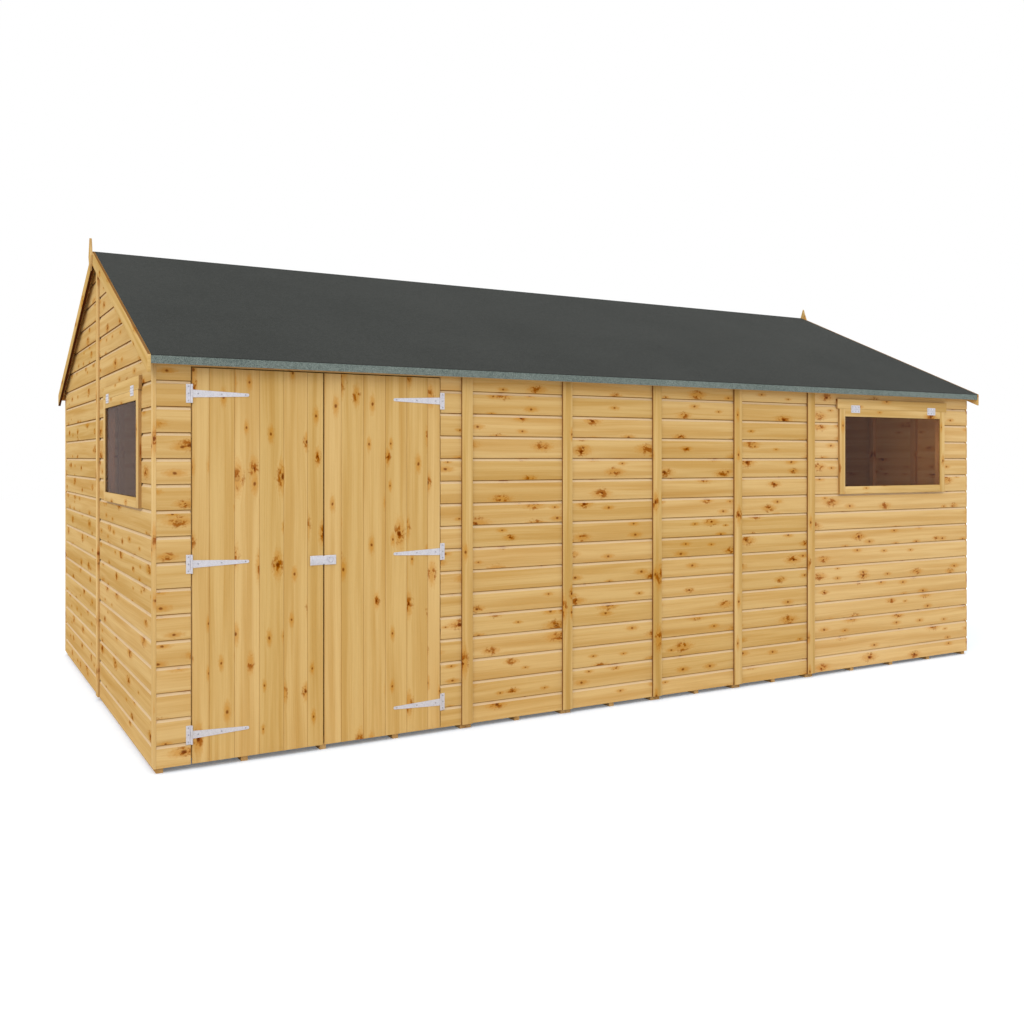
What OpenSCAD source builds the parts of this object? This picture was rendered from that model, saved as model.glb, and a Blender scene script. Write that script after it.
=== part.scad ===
// Wooden garden shed with a double door, two top-hung windows and a felted apex roof.
// Millimetres. Origin at ground level under the middle, +X along the front, the front faces -Y.

/* [Walls] */
// Width of the cladding on each side of the doorway
door_side = 145; // [110:1:260]
// Width of each middle panel
mid_panel_w = 600; // [450:10:900]
// Number of middle panels
mid_panels = 4; // [1:1:6]
// Depth of the building over its front and back cladding
wall_d = 3125; // [2800:5:3600]
// Thickness of the cladding
clad_t = 12; // [10:0.5:18]
// Height of the cladding's lower edge above the ground
clad_z = 23; // [10:1:40]
// Gap between neighbouring panels, under the cover strips
panel_gap = 2; // [1:0.5:4]

/* [Trim] */
// Width of the cover strips
strip_w = 60; // [40:1:90]
// Thickness of the cover strips
strip_t = 12; // [8:0.5:20]
// Width of the corner boards
corner_w = 50; // [35:1:80]

/* [Framing] */
// Depth of studs and plates behind the cladding
frame_t = 28; // [24:1:45]
// Width of studs and height of plates
stud_w = 38; // [28:1:60]
// Distance between studs in the wide panels
stud_pitch = 375; // [300:5:480]

/* [Floor] */
// Width of a bearer
bearer_w = 30; // [24:1:45]
// Height of a bearer
bearer_h = 46; // [34:1:80]
// Thickness of the floor deck
deck_t = 12; // [10:1:22]

/* [Roof] */
// Clearance between the doors and the felt at the eaves
eaves_clear = 6; // [5:1:60]
// Pitch of the roof in degrees
roof_pitch = 23.8; // [15:0.1:32]
// Overhang of the eaves from the cladding
eave_out = 66; // [50:1:120]
// Overhang of the roof deck past the ends of the long walls
verge_out = 34; // [24:1:90]
// Thickness of the roof deck
roof_t = 12; // [9:0.5:20]
// Thickness of the felt
felt_t = 3; // [2:0.5:5]
// Height of the felt turned down at the eaves
felt_drop = 38; // [30:1:60]
// Thickness of the eaves batten
batten_t = 20; // [12:1:30]
// Depth of a rafter, square to the slope
rafter_h = 58; // [45:1:75]
// Height of the ridge board
ridge_h = 95; // [80:1:140]
// Depth of a barge board, square to the slope
barge_h = 70; // [55:1:95]
// Thickness of a barge board
barge_t = 15; // [10:0.5:22]
// Width of a finial
finial_w = 75; // [50:1:110]
// Height of a finial over the ridge
finial_up = 73; // [40:1:110]
// Reach of a finial below the ridge
finial_down = 110; // [60:1:160]
// Thickness of a finial
finial_t = 13; // [8:0.5:20]

/* [Doors] */
// Width of the doorway
doorway_w = 1210; // [900:5:1600]
// Height of the doors' lower edge above the ground
door_z = 25; // [14:1:40]
// Height of the doors
door_h = 1730; // [1500:1:2100]
// Thickness of the door boards
door_t = 11; // [9:0.5:14]
// Clearance round the doors
door_gap = 5; // [4:0.5:8]
// Gap between the two doors
meet_gap = 6; // [5:0.5:10]
// Lap of the doors over their posts
post_lap = 20; // [12:1:26]
// Width of the ledges and braces
ledge_w = 70; // [50:1:100]
// Thickness of the ledges and braces
ledge_t = 18; // [14:0.5:22]
// Distance from a door's edge to its ledges
ledge_in = 40; // [36:1:70]
// Distance from a door's ends to its outer ledges
ledge_end = 92; // [85:1:160]

/* [T-hinges] */
// Width of a hinge plate
plate_w = 20; // [16:1:45]
// Height of a hinge plate
plate_h = 82; // [66:1:100]
// Thickness of plates and straps
iron_t = 2.5; // [2:0.1:3.5]
// Length of a strap from the pin
strap_l = 252; // [150:1:350]
// Width of a strap at its knuckle
strap_w = 34; // [26:1:44]
// Width of a strap at its tip
strap_tip_w = 14; // [10:1:24]
// Outer radius of the knuckles
knuckle_r = 4.5; // [4:0.1:5.5]
// Radius of the hinge pin
pin_r = 2; // [1.5:0.1:2.5]
// Height of the lowest hinge over the doors' lower edge
hinge_low = 127; // [110:1:200]
// Depth of the highest hinge under the doors' upper edge
hinge_top = 113; // [100:1:200]

/* [Hasp] */
// Height of the hasp over the doors' lower edge
hasp_up = 860; // [700:5:1000]
// Height of the hasp plates
hasp_h = 44; // [34:1:60]
// Length of the plate on the left door
hasp_l = 60; // [45:1:80]
// Length of the staple's plate on the right door
staple_l = 50; // [42:1:70]
// Reach of the staple from its plate
staple_out = 13; // [10:0.5:20]

/* [Windows] */
// Width of a sash
sash_w = 1010; // [700:5:1200]
// Height of a sash
sash_h = 540; // [400:5:700]
// Distance from the felt at the eaves down to a window's head strip
head_down = 27; // [8:1:120]
// Width of the sash rails
sash_rail = 48; // [40:1:70]
// Thickness of a sash
sash_t = 16; // [12:0.5:24]
// Lap of a sash over the cladding
sash_lap = 25; // [15:1:35]
// Thickness of a pane
pane_t = 4; // [3:0.5:6]
// Width of the rebate that holds a pane
rebate = 10; // [6:1:14]
// Length by which a head strip passes its sash at each end
head_over = 20; // [0:1:35]
// Height of a head strip
head_h = 62; // [45:1:80]
// Width of a butt hinge
butt_w = 80; // [50:1:100]
// Height of one leaf of a butt hinge
butt_h = 24; // [18:1:30]
// Distance from a sash's end to the middle of its butt hinge
butt_in = 140; // [80:1:220]

/* [Hidden] */

$fn = 48;
// Small clearance where sloping faces meet
seat = 0.3;
// Radial clearance of a hinge pin
pin_clear = 0.1;
// Clearance between the pieces of a knuckle
knuckle_gap = 0.5;
pine = "#d5b06e";
pale_pine = "#dcbd82";
rough_pine = "#b58a50";
felt_grey = "#4a4c48";
eaves_grey = "#76827d";
galvanised = "#e1dee6";
pane_tint = [0.45, 0.38, 0.34, 0.5];

// Plan: each end panel is as wide as the doorway with its cladding
end_panel_w = doorway_w + 2 * door_side;
wall_l = 2 * end_panel_w + mid_panels * mid_panel_w;
half_l = wall_l / 2;
half_d = wall_d / 2;
in_d = half_d - clad_t;
gable_x = half_l + clad_t;
panel_ends = concat([-half_l],
    [for (i = [0:mid_panels]) -mid_panels * mid_panel_w / 2 + i * mid_panel_w], [half_l]);
joint_xs = [for (i = [1:mid_panels + 1]) panel_ends[i]];

// Floor levels
floor_z = bearer_h + deck_t;
sole_top = floor_z + stud_w;

// Doors, and the eaves over them
door_top = door_z + door_h;
eaves_low = door_top + eaves_clear;
eave_z = eaves_low + felt_drop;

// Roof planes, as heights over a distance from the ridge
slope = tan(roof_pitch);
plumb = 1 / cos(roof_pitch);
eave_y = half_d + eave_out;
roof_x = half_l + verge_out;
function felt_top(y) = eave_z + (eave_y - abs(y)) * slope;
function deck_top(y) = felt_top(y) - felt_t * plumb;
function deck_under(y) = deck_top(y) - roof_t * plumb;
function wall_top(y) = deck_under(y) - seat;
function rafter_top(y) = deck_under(y) - seat;
function rafter_under(y) = rafter_top(y) - rafter_h * plumb;
plate_top = rafter_under(in_d) - seat;
plate_under = plate_top - stud_w;

// Doorway, in the middle of the left end panel
door_x = -half_l + end_panel_w / 2;
header_z = door_top + door_gap;
leaf_w = (doorway_w - meet_gap) / 2 - door_gap;
leaf_back_y = -in_d - door_gap;
leaf_face_y = leaf_back_y - door_t;
pin_x = -doorway_w / 2 + door_gap / 2;
pin_y = leaf_face_y - knuckle_r;
leaf_x0 = -doorway_w / 2 + door_gap;
knuckle_l = (plate_h - 2 * knuckle_gap) / 3;
hinge_zs = [door_z + hinge_low, (door_z + hinge_low + door_top - hinge_top) / 2, door_top - hinge_top];

// Windows: the front one in the right end panel, the other in the front half of the left gable
window_x = half_l - end_panel_w / 2;
window_y = -half_d / 2;
head_z = eaves_low - head_down - head_h;
sash_z = head_z - sash_h;
hole_w = sash_w - 2 * sash_lap;
hole_h = sash_h - 2 * sash_lap;
hole_z = sash_z + sash_lap;
light_w = sash_w - 2 * sash_rail;
light_h = sash_h - 2 * sash_rail;

// Stud places along the walls
side_stud = hole_w / 2 + stud_w / 2;
joint_stud = panel_gap + stud_w / 2;
corner_stud = half_l - stud_w / 2;
gable_corner_stud = in_d - frame_t - stud_w / 2 - panel_gap;
end_stud_xs = [for (x = [joint_xs[mid_panels] + joint_stud + stud_pitch : stud_pitch : corner_stud - 2 * stud_w]) x];
half_stud_ys = [for (y = [joint_stud + stud_pitch : stud_pitch : gable_corner_stud - 2 * stud_w]) y];
joint_stud_xs = [for (x = joint_xs, s = [-1, 1]) x + s * joint_stud];
mid_stud_xs = [for (i = [1:mid_panels]) (panel_ends[i] + panel_ends[i + 1]) / 2];

// Block between two corners
module block(low, high) {
    translate(low) cube(high - low);
}

// Outline in the plane of a gable, carried along X from x0 to x1
module along_x(x0, x1) {
    translate([x0, 0, 0]) rotate([90, 0, 90]) linear_extrude(x1 - x0) children();
}

// Upright board across a gable: from y0 to y1, from z0 up to the roof
module gable_outline(y0, y1, z0, drop = 0) {
    peak = y0 < 0 && y1 > 0 ? [[0, wall_top(0) - drop]] : [];
    polygon(concat([[y0, z0], [y1, z0], [y1, wall_top(y1) - drop]], peak, [[y0, wall_top(y0) - drop]]));
}

// Cladding of a long wall, between two stations and up to the roof; side is -1 in front and 1 at the back
module long_cladding(x0, x1, side, z0 = clad_z) {
    along_x(x0, x1) polygon([[side * half_d, z0], [side * in_d, z0], [side * in_d, wall_top(in_d)],
        [side * half_d, wall_top(half_d)]]);
}

module clad_panels(first, last, side) {
    for (i = [first:last])
        long_cladding(panel_ends[i] + (i > 0 ? panel_gap / 2 : 0),
            panel_ends[i + 1] - (i <= mid_panels ? panel_gap / 2 : 0), side);
}

// Half of a gable's cladding; side is -1 on the left, end -1 in front
module half_gable(side, end, corner = 0) {
    y0 = end < 0 ? -half_d + corner : panel_gap / 2;
    y1 = end < 0 ? -panel_gap / 2 : half_d - corner;
    along_x(min(side * half_l, side * gable_x), max(side * half_l, side * gable_x)) gable_outline(y0, y1, clad_z);
}

// What a window needs, drawn round its middle: X along the wall, Z up, outer face of the cladding at Y = 0
module at_front_window() {
    translate([window_x, -half_d, 0]) children();
}

module at_gable_window() {
    translate([-gable_x, window_y, 0]) rotate([0, 0, -90]) children();
}

module at_windows() {
    at_front_window() children();
    at_gable_window() children();
}

module window_hole() {
    translate([-hole_w / 2, -clad_t, hole_z]) cube([hole_w, 3 * clad_t, hole_h]);
}

module floor_bearers() {
    color(rough_pine)
    for (i = [0:mid_panels + 1]) {
        x0 = panel_ends[i] + panel_gap / 2;
        x1 = panel_ends[i + 1] - panel_gap / 2 - bearer_w;
        bays = max(2, round((x1 - x0) / stud_pitch));
        for (k = [0:bays])
            translate([x0 + (x1 - x0) * k / bays, -in_d, 0]) cube([bearer_w, 2 * in_d, bearer_h]);
    }
}

module floor_deck() {
    color(pale_pine)
    for (i = [0:mid_panels + 1])
        block([panel_ends[i] + panel_gap / 2, -in_d, bearer_h],
            [panel_ends[i + 1] - panel_gap / 2, in_d, floor_z]);
}

module front_wall_left() {
    color(pine) long_cladding(-half_l, door_x - doorway_w / 2, -1);
}

module front_wall_header() {
    color(pine) long_cladding(door_x - doorway_w / 2, door_x + doorway_w / 2, -1, header_z);
}

module front_wall_right() {
    color(pine) long_cladding(door_x + doorway_w / 2, panel_ends[1] - panel_gap / 2, -1);
}

module front_wall_panels() {
    color(pine) clad_panels(1, mid_panels, -1);
}

module front_window_wall() {
    color(pine) difference() {
        clad_panels(mid_panels + 1, mid_panels + 1, -1);
        at_front_window() window_hole();
    }
}

module back_wall_panels() {
    color(pine) clad_panels(0, mid_panels + 1, 1);
}

module left_gable_front() {
    color(pine) difference() {
        half_gable(-1, -1, corner_w);
        at_gable_window() window_hole();
    }
}

module left_gable_back() {
    color(pine) half_gable(-1, 1, corner_w);
}

module right_gable_front() {
    color(pine) half_gable(1, -1);
}

module right_gable_back() {
    color(pine) half_gable(1, 1);
}

// Plate along the inside of a long wall
module long_plate(x0, x1, side, z0) {
    block([x0, min(side * in_d, side * (in_d - frame_t)), z0],
        [x1, max(side * in_d, side * (in_d - frame_t)), z0 + stud_w]);
}

module sole_plates() {
    color(rough_pine) {
        long_plate(-half_l, door_x - doorway_w / 2 + post_lap, -1, floor_z);
        long_plate(door_x + doorway_w / 2 - post_lap, half_l, -1, floor_z);
        long_plate(-half_l, half_l, 1, floor_z);
        for (side = [-1, 1])
            block([side * half_l - (side > 0 ? frame_t : 0), -in_d + frame_t + panel_gap, floor_z],
                [side * half_l + (side > 0 ? 0 : frame_t), in_d - frame_t - panel_gap, sole_top]);
    }
}

// Stud of a long wall, centred on x
module long_stud(x, side, top = plate_under) {
    block([x - stud_w / 2, min(side * in_d, side * (in_d - frame_t)), sole_top],
        [x + stud_w / 2, max(side * in_d, side * (in_d - frame_t)), top]);
}

// Stud of a gable, centred on y, up to the end rafter or a given height
module gable_stud(y, side, z0 = sole_top) {
    drop = rafter_h * plumb + seat;
    along_x(side * half_l - (side > 0 ? frame_t : 0), side * half_l + (side > 0 ? 0 : frame_t))
        gable_outline(y - stud_w / 2, y + stud_w / 2, z0, drop);
}

module wall_studs() {
    post_x = doorway_w / 2 - post_lap + stud_w / 2;
    front_xs = concat([-corner_stud, door_x - post_x, door_x + post_x], joint_stud_xs, mid_stud_xs,
        [window_x - side_stud, window_x + side_stud, corner_stud]);
    back_xs = concat([-corner_stud, corner_stud], joint_stud_xs, mid_stud_xs, end_stud_xs, -end_stud_xs);
    right_ys = concat([gable_corner_stud, joint_stud], half_stud_ys);
    left_front_ys = [-gable_corner_stud, window_y - side_stud, window_y + side_stud, -joint_stud];
    color(rough_pine) {
        for (x = front_xs) long_stud(x, -1);
        long_stud(window_x, -1, hole_z - stud_w);
        for (x = back_xs) long_stud(x, 1);
        for (y = right_ys) {
            gable_stud(y, 1);
            gable_stud(-y, 1);
            gable_stud(y, -1);
        }
        for (y = left_front_ys) gable_stud(y, -1);
        gable_stud(window_y, -1, hole_z + hole_h + stud_w);
        block([-half_l, window_y - stud_w / 2, sole_top],
            [-half_l + frame_t, window_y + stud_w / 2, hole_z - stud_w]);
    }
}

module top_plates() {
    color(rough_pine) for (side = [-1, 1]) long_plate(-half_l, half_l, side, plate_under);
}

module window_rails() {
    color(rough_pine) at_windows()
        for (z = [hole_z - stud_w, hole_z + hole_h])
            translate([-hole_w / 2, clad_t, z]) cube([hole_w, frame_t, stud_w]);
}

// Rafters of one slope: one at each panel joint, against the ridge board, and one at each gable
module rafter(side, x0, x1, head) {
    foot = in_d - seat;
    along_x(x0, x1) polygon([
        [side * head, rafter_under(head)], [side * foot, rafter_under(foot)],
        [side * foot, rafter_top(foot)], [side * head, rafter_top(head)]]);
}

module rafters(side) {
    color(rough_pine) {
        for (x = joint_xs) rafter(side, x - stud_w / 2, x + stud_w / 2, stud_w / 2 + seat);
        rafter(side, -half_l, -half_l + frame_t, seat);
        rafter(side, half_l - frame_t, half_l, seat);
    }
}

module front_rafters() {
    rafters(-1);
}

module back_rafters() {
    rafters(1);
}

module ridge_board() {
    w = stud_w / 2;
    low = rafter_top(0) - ridge_h;
    color(rough_pine) along_x(-half_l + frame_t, half_l - frame_t)
        polygon([[-w, low], [w, low], [w, rafter_top(w)], [0, rafter_top(0)], [-w, rafter_top(w)]]);
}

// Sheet over one slope between an upper and a lower plane, out to a distance from the ridge
module roof_sheet(side, out, upper, lower) {
    along_x(-roof_x, roof_x) polygon([
        [0, upper(0)], [side * out, upper(out)], [side * out, lower(out)], [0, lower(0)]]);
}

module front_roof_deck() {
    color(rough_pine) roof_sheet(-1, eave_y - felt_t, function(y) deck_top(y), function(y) deck_under(y));
}

module back_roof_deck() {
    color(rough_pine) roof_sheet(1, eave_y - felt_t, function(y) deck_top(y), function(y) deck_under(y));
}

module front_roof_felt() {
    color(felt_grey) roof_sheet(-1, eave_y, function(y) felt_top(y), function(y) deck_top(y));
}

module back_roof_felt() {
    color(felt_grey) roof_sheet(1, eave_y, function(y) felt_top(y), function(y) deck_top(y));
}

// Strip along both eaves with its top on a roof plane
module eaves_strip(outer, inner, top) {
    for (side = [-1, 1])
        along_x(-roof_x, roof_x) polygon([
            [side * outer, eaves_low], [side * inner, eaves_low],
            [side * inner, top(inner) - seat], [side * outer, top(outer) - seat]]);
}

module eaves_battens() {
    outer = eave_y - felt_t;
    color(rough_pine) eaves_strip(outer, outer - batten_t, function(y) deck_under(y));
}

module eaves_felt() {
    color(eaves_grey) eaves_strip(eave_y, eave_y - felt_t, function(y) deck_top(y));
}

// Pair of barge boards against the ends of the roof
module barge_boards(x0) {
    ridge_gap = panel_gap / 4;
    plumb_h = barge_h * plumb;
    color(pale_pine) for (side = [-1, 1])
        along_x(x0, x0 + barge_t) polygon([
            [side * ridge_gap, felt_top(ridge_gap)], [side * eave_y, felt_top(eave_y)],
            [side * eave_y, felt_top(eave_y) - plumb_h], [side * ridge_gap, felt_top(ridge_gap) - plumb_h]]);
}

module left_barge_boards() {
    barge_boards(-roof_x - barge_t);
}

module right_barge_boards() {
    barge_boards(roof_x);
}

module finials() {
    ridge_z = felt_top(0);
    shoulder_z = ridge_z - finial_down / 4;
    color(pale_pine) for (x0 = [-roof_x - barge_t - finial_t, roof_x + barge_t])
        along_x(x0, x0 + finial_t) polygon([
            [0, ridge_z - finial_down], [finial_w / 2, shoulder_z],
            [0, ridge_z + finial_up], [-finial_w / 2, shoulder_z]]);
}

// Cover strips over the panel joints of a long wall
module cover_strips(side) {
    outer = half_d + strip_t;
    color(pale_pine) for (x = joint_xs)
        along_x(x - strip_w / 2, x + strip_w / 2) polygon([
            [side * outer, clad_z], [side * half_d, clad_z],
            [side * half_d, wall_top(half_d)], [side * outer, wall_top(outer)]]);
}

module front_cover_strips() {
    cover_strips(-1);
}

module back_cover_strips() {
    cover_strips(1);
}

// Middle strip on each gable and corner boards on the left one
module gable_trims() {
    color(pale_pine) {
        for (x0 = [-gable_x - strip_t, gable_x])
            along_x(x0, x0 + strip_t) gable_outline(-strip_w / 2, strip_w / 2, clad_z);
        along_x(-gable_x, -half_l) {
            gable_outline(-half_d, -half_d + corner_w, clad_z);
            gable_outline(half_d - corner_w, half_d, clad_z);
        }
    }
}

module window_sashes() {
    color(pale_pine) at_windows() difference() {
        translate([-sash_w / 2, -sash_t, sash_z]) cube([sash_w, sash_t, sash_h]);
        translate([-light_w / 2, -2 * sash_t, sash_z + sash_rail]) cube([light_w, 4 * sash_t, light_h]);
        translate([-light_w / 2 - rebate, -pane_t - sash_t / 4, sash_z + sash_rail - rebate])
            cube([light_w + 2 * rebate, 2 * sash_t, light_h + 2 * rebate]);
    }
}

module window_panes() {
    edge = rebate - seat;
    color(pane_tint) at_windows()
        translate([-light_w / 2 - edge, -pane_t - sash_t / 4, sash_z + sash_rail - edge])
            cube([light_w + 2 * edge, pane_t, light_h + 2 * edge]);
}

module window_head_strips() {
    color(pale_pine) at_windows()
        translate([-sash_w / 2 - head_over, -sash_t, head_z]) cube([sash_w + 2 * head_over, sash_t, head_h]);
}

// Butt hinges: a leaf on the head strip, one on the sash, and the knuckle between them
module window_hinges() {
    color(galvanised) at_windows() for (s = [-1, 1])
        translate([s * (sash_w / 2 - butt_in), -sash_t, head_z]) {
            translate([-butt_w / 2, -iron_t, -butt_h]) cube([butt_w, iron_t, 2 * butt_h]);
            translate([-butt_w / 2, -iron_t, 0]) rotate([0, 90, 0]) cylinder(r = iron_t, h = butt_w);
        }
}

// Places of the doors: the right one mirrors the left one
module at_left_door() {
    translate([door_x, 0, 0]) children();
}

module at_right_door() {
    translate([door_x, 0, 0]) mirror([1, 0, 0]) children();
}

module knuckle(z0, l, r) {
    translate([pin_x, pin_y, z0]) cylinder(r = r, h = l);
}

// Plate of one T-hinge with its two outer knuckles and the pin
module hinge_plate(z) {
    inner = knuckle_l / 2 + knuckle_gap;
    plate_x1 = pin_x - knuckle_r + 1;
    for (z0 = [z + inner, z - inner - knuckle_l]) {
        knuckle(z0, knuckle_l, knuckle_r);
        block([plate_x1 - 1, pin_y, z0], [pin_x, -half_d, z0 + knuckle_l]);
    }
    knuckle(z - inner - knuckle_l, 2 * (inner + knuckle_l), pin_r);
    block([plate_x1 - plate_w, -half_d - iron_t, z - plate_h / 2], [plate_x1, -half_d, z + plate_h / 2]);
}

module hinge_plates() {
    color(galvanised) for (z = hinge_zs) {
        at_left_door() hinge_plate(z);
        at_right_door() hinge_plate(z);
    }
}

module door_boards() {
    color(pale_pine) block([leaf_x0, leaf_face_y, door_z], [leaf_x0 + leaf_w, leaf_back_y, door_top]);
}

// Three ledges and two braces that rise from the hinge side
module door_ledges() {
    x0 = leaf_x0 + ledge_in;
    x1 = leaf_x0 + leaf_w - ledge_in;
    low = door_z + ledge_end;
    high = door_top - ledge_end - ledge_w;
    ledge_zs = [low, (low + high) / 2, high];
    color(rough_pine) translate([0, leaf_back_y + ledge_t, 0]) rotate([90, 0, 0]) linear_extrude(ledge_t) {
        for (z = ledge_zs) translate([x0, z]) square([x1 - x0, ledge_w]);
        for (i = [0, 1]) {
            z0 = ledge_zs[i] + ledge_w / 2;
            z1 = ledge_zs[i + 1] + ledge_w / 2;
            polygon([[x0, z0], [x0 + ledge_w, z0], [x1, z1], [x1 - ledge_w, z1]]);
        }
    }
}

// Strap of one T-hinge, tapered to a round tip, with the middle knuckle
module hinge_strap(z) {
    tip_r = strap_tip_w / 2;
    difference() {
        union() {
            translate([pin_x, leaf_face_y, z]) rotate([90, 0, 0]) linear_extrude(iron_t) {
                polygon([[knuckle_r, -strap_w / 2], [strap_l - tip_r, -tip_r],
                    [strap_l - tip_r, tip_r], [knuckle_r, strap_w / 2]]);
                translate([strap_l - tip_r, 0]) circle(tip_r);
            }
            knuckle(z - knuckle_l / 2, knuckle_l, knuckle_r);
            block([pin_x, leaf_face_y - iron_t, z - knuckle_l / 2],
                [pin_x + 2 * knuckle_r, leaf_face_y, z + knuckle_l / 2]);
        }
        knuckle(z - knuckle_l, 2 * knuckle_l, pin_r + pin_clear);
    }
}

module door_straps() {
    color(galvanised) for (z = hinge_zs) hinge_strap(z);
}

module left_door_boards() {
    at_left_door() door_boards();
}

module left_door_ledges() {
    at_left_door() door_ledges();
}

module left_door_straps() {
    at_left_door() door_straps();
}

module right_door_boards() {
    at_right_door() door_boards();
}

module right_door_ledges() {
    at_right_door() door_ledges();
}

module right_door_straps() {
    at_right_door() door_straps();
}

// Fixed plate of the hasp on the left door, with the knuckle at its outer end
module hasp_plate() {
    x1 = -meet_gap / 2 - 1;
    z = door_z + hasp_up;
    color(galvanised) translate([door_x, leaf_face_y, z]) {
        translate([x1 - hasp_l, -iron_t, -hasp_h / 2]) cube([hasp_l, iron_t, hasp_h]);
        translate([x1 - hasp_l, -iron_t, -hasp_h / 2]) cylinder(r = iron_t, h = hasp_h);
    }
}

// Plate and swivel eye on the right door
module hasp_staple() {
    x0 = meet_gap / 2 + 1;
    eye_r = hasp_h / 5;
    color(galvanised) translate([door_x, leaf_face_y, door_z + hasp_up]) difference() {
        union() {
            translate([x0, -iron_t, -hasp_h / 2]) cube([staple_l, iron_t, hasp_h]);
            translate([x0 + staple_l / 2, 0, 0]) rotate([90, 0, 0]) cylinder(r = eye_r, h = staple_out);
        }
        translate([x0 + staple_l / 2, -staple_out + eye_r / 2, -hasp_h])
            cylinder(r = eye_r / 3, h = 2 * hasp_h);
    }
}

floor_bearers();
floor_deck();
front_wall_left();
front_wall_header();
front_wall_right();
front_wall_panels();
front_window_wall();
back_wall_panels();
left_gable_front();
left_gable_back();
right_gable_front();
right_gable_back();
sole_plates();
wall_studs();
top_plates();
window_rails();
front_rafters();
back_rafters();
ridge_board();
front_roof_deck();
back_roof_deck();
front_roof_felt();
back_roof_felt();
eaves_battens();
eaves_felt();
left_barge_boards();
right_barge_boards();
finials();
front_cover_strips();
back_cover_strips();
gable_trims();
window_sashes();
window_panes();
window_head_strips();
window_hinges();
hinge_plates();
left_door_boards();
left_door_ledges();
left_door_straps();
hasp_plate();
right_door_boards();
right_door_ledges();
right_door_straps();
hasp_staple();
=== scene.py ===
import bpy
import bmesh
import math
import random
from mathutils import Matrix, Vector


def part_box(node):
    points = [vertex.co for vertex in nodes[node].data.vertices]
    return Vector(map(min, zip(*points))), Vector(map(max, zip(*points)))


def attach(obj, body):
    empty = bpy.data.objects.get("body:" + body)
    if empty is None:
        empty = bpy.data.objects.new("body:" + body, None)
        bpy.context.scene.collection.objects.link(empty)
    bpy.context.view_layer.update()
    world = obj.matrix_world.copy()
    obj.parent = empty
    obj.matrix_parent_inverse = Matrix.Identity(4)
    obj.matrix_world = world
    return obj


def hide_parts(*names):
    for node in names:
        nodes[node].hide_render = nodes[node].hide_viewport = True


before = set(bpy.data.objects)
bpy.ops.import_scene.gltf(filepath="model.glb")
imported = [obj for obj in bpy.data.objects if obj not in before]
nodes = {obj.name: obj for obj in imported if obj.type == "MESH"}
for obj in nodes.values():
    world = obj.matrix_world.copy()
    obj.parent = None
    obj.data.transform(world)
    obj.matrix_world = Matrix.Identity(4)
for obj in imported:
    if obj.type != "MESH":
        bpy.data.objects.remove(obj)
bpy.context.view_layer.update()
dice = random.Random(1417)  # one seed, so every run gives the same shed
print("shed: frame loaded with", len(nodes), "nodes")

roof = {"pitch": math.radians(23.8)}
slopeFront = Vector((0, math.cos(roof["pitch"]), math.sin(roof["pitch"])))
slopeBack = Vector((0, math.cos(roof["pitch"]), -math.sin(roof["pitch"])))
acrossX, acrossY, upZ = Vector((1, 0, 0)), Vector((0, 1, 0)), Vector((0, 0, 1))


# Camera, at the photograph's angle

viewpoint = {
    "place": (-3.57, -6.125, 1.36),
    "turn": math.radians(-30),
    "lens": 35.9,
    "sensor": 36.0,
    "shiftY": -0.0527,  # the horizon lies above the middle of the picture
    "farthest": 200,
}
bpy.ops.object.camera_add(location=viewpoint["place"], rotation=(math.radians(90), 0, viewpoint["turn"]))
camera = bpy.context.object
camera.data.lens = viewpoint["lens"]
camera.data.sensor_width = viewpoint["sensor"]
camera.data.shift_y = viewpoint["shiftY"]
camera.data.clip_end = viewpoint["farthest"]
bpy.context.scene.camera = camera
bpy.context.scene.view_settings.view_transform = "Standard"
print("shed: camera set")


# Helpers for nodes

def paint(red, green, blue):
    # screen colour, 0 to 255, as the linear colour that a socket takes
    def linear(step):
        share = step / 255
        return share / 12.92 if share <= 0.04045 else ((share + 0.055) / 1.055) ** 2.4
    return (linear(red), linear(green), linear(blue), 1)


def addNode(tree, kind, settings=None, inputs=None):
    made = tree.nodes.new(kind)
    for key, value in (settings or {}).items():
        setattr(made, key, value)
    for key, value in (inputs or {}).items():
        if isinstance(value, bpy.types.NodeSocket):
            tree.links.new(value, made.inputs[key])
        else:
            made.inputs[key].default_value = value
    return made


def calc(tree, operation, first, second=0.5, clamp=False):
    made = addNode(tree, "ShaderNodeMath", {"operation": operation, "use_clamp": clamp},
                   {0: first, 1: second})
    return made.outputs[0]


def vectorCalc(tree, operation, first, second):
    return addNode(tree, "ShaderNodeVectorMath", {"operation": operation}, {0: first, 1: second}).outputs[0]


def fade(tree, value, start, end):
    # smooth step from 0 at start to 1 at end
    made = addNode(tree, "ShaderNodeMapRange", {"interpolation_type": "SMOOTHSTEP"},
                   {"Value": value, "From Min": start, "From Max": end})
    return made.outputs[0]


def spread(tree, value, low, high):
    # value from 0 to 1, laid out from low to high and on beyond them
    made = addNode(tree, "ShaderNodeMapRange", {"clamp": False},
                   {"Value": value, "To Min": low, "To Max": high})
    return made.outputs[0]


def mixColour(tree, share, first, second):
    made = addNode(tree, "ShaderNodeMix", {"data_type": "RGBA"}, {0: share, 6: first, 7: second})
    return made.outputs[2]


def noise(tree, vector, scale, detail=2.0):
    # vector in metres, scale as how often along x, y and z
    scaled = vectorCalc(tree, "MULTIPLY", vector, scale)
    made = addNode(tree, "ShaderNodeTexNoise", {"noise_dimensions": "3D"},
                   {"Vector": scaled, "Scale": 1.0, "Detail": detail, "Roughness": 0.55})
    return made.outputs[0]


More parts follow.
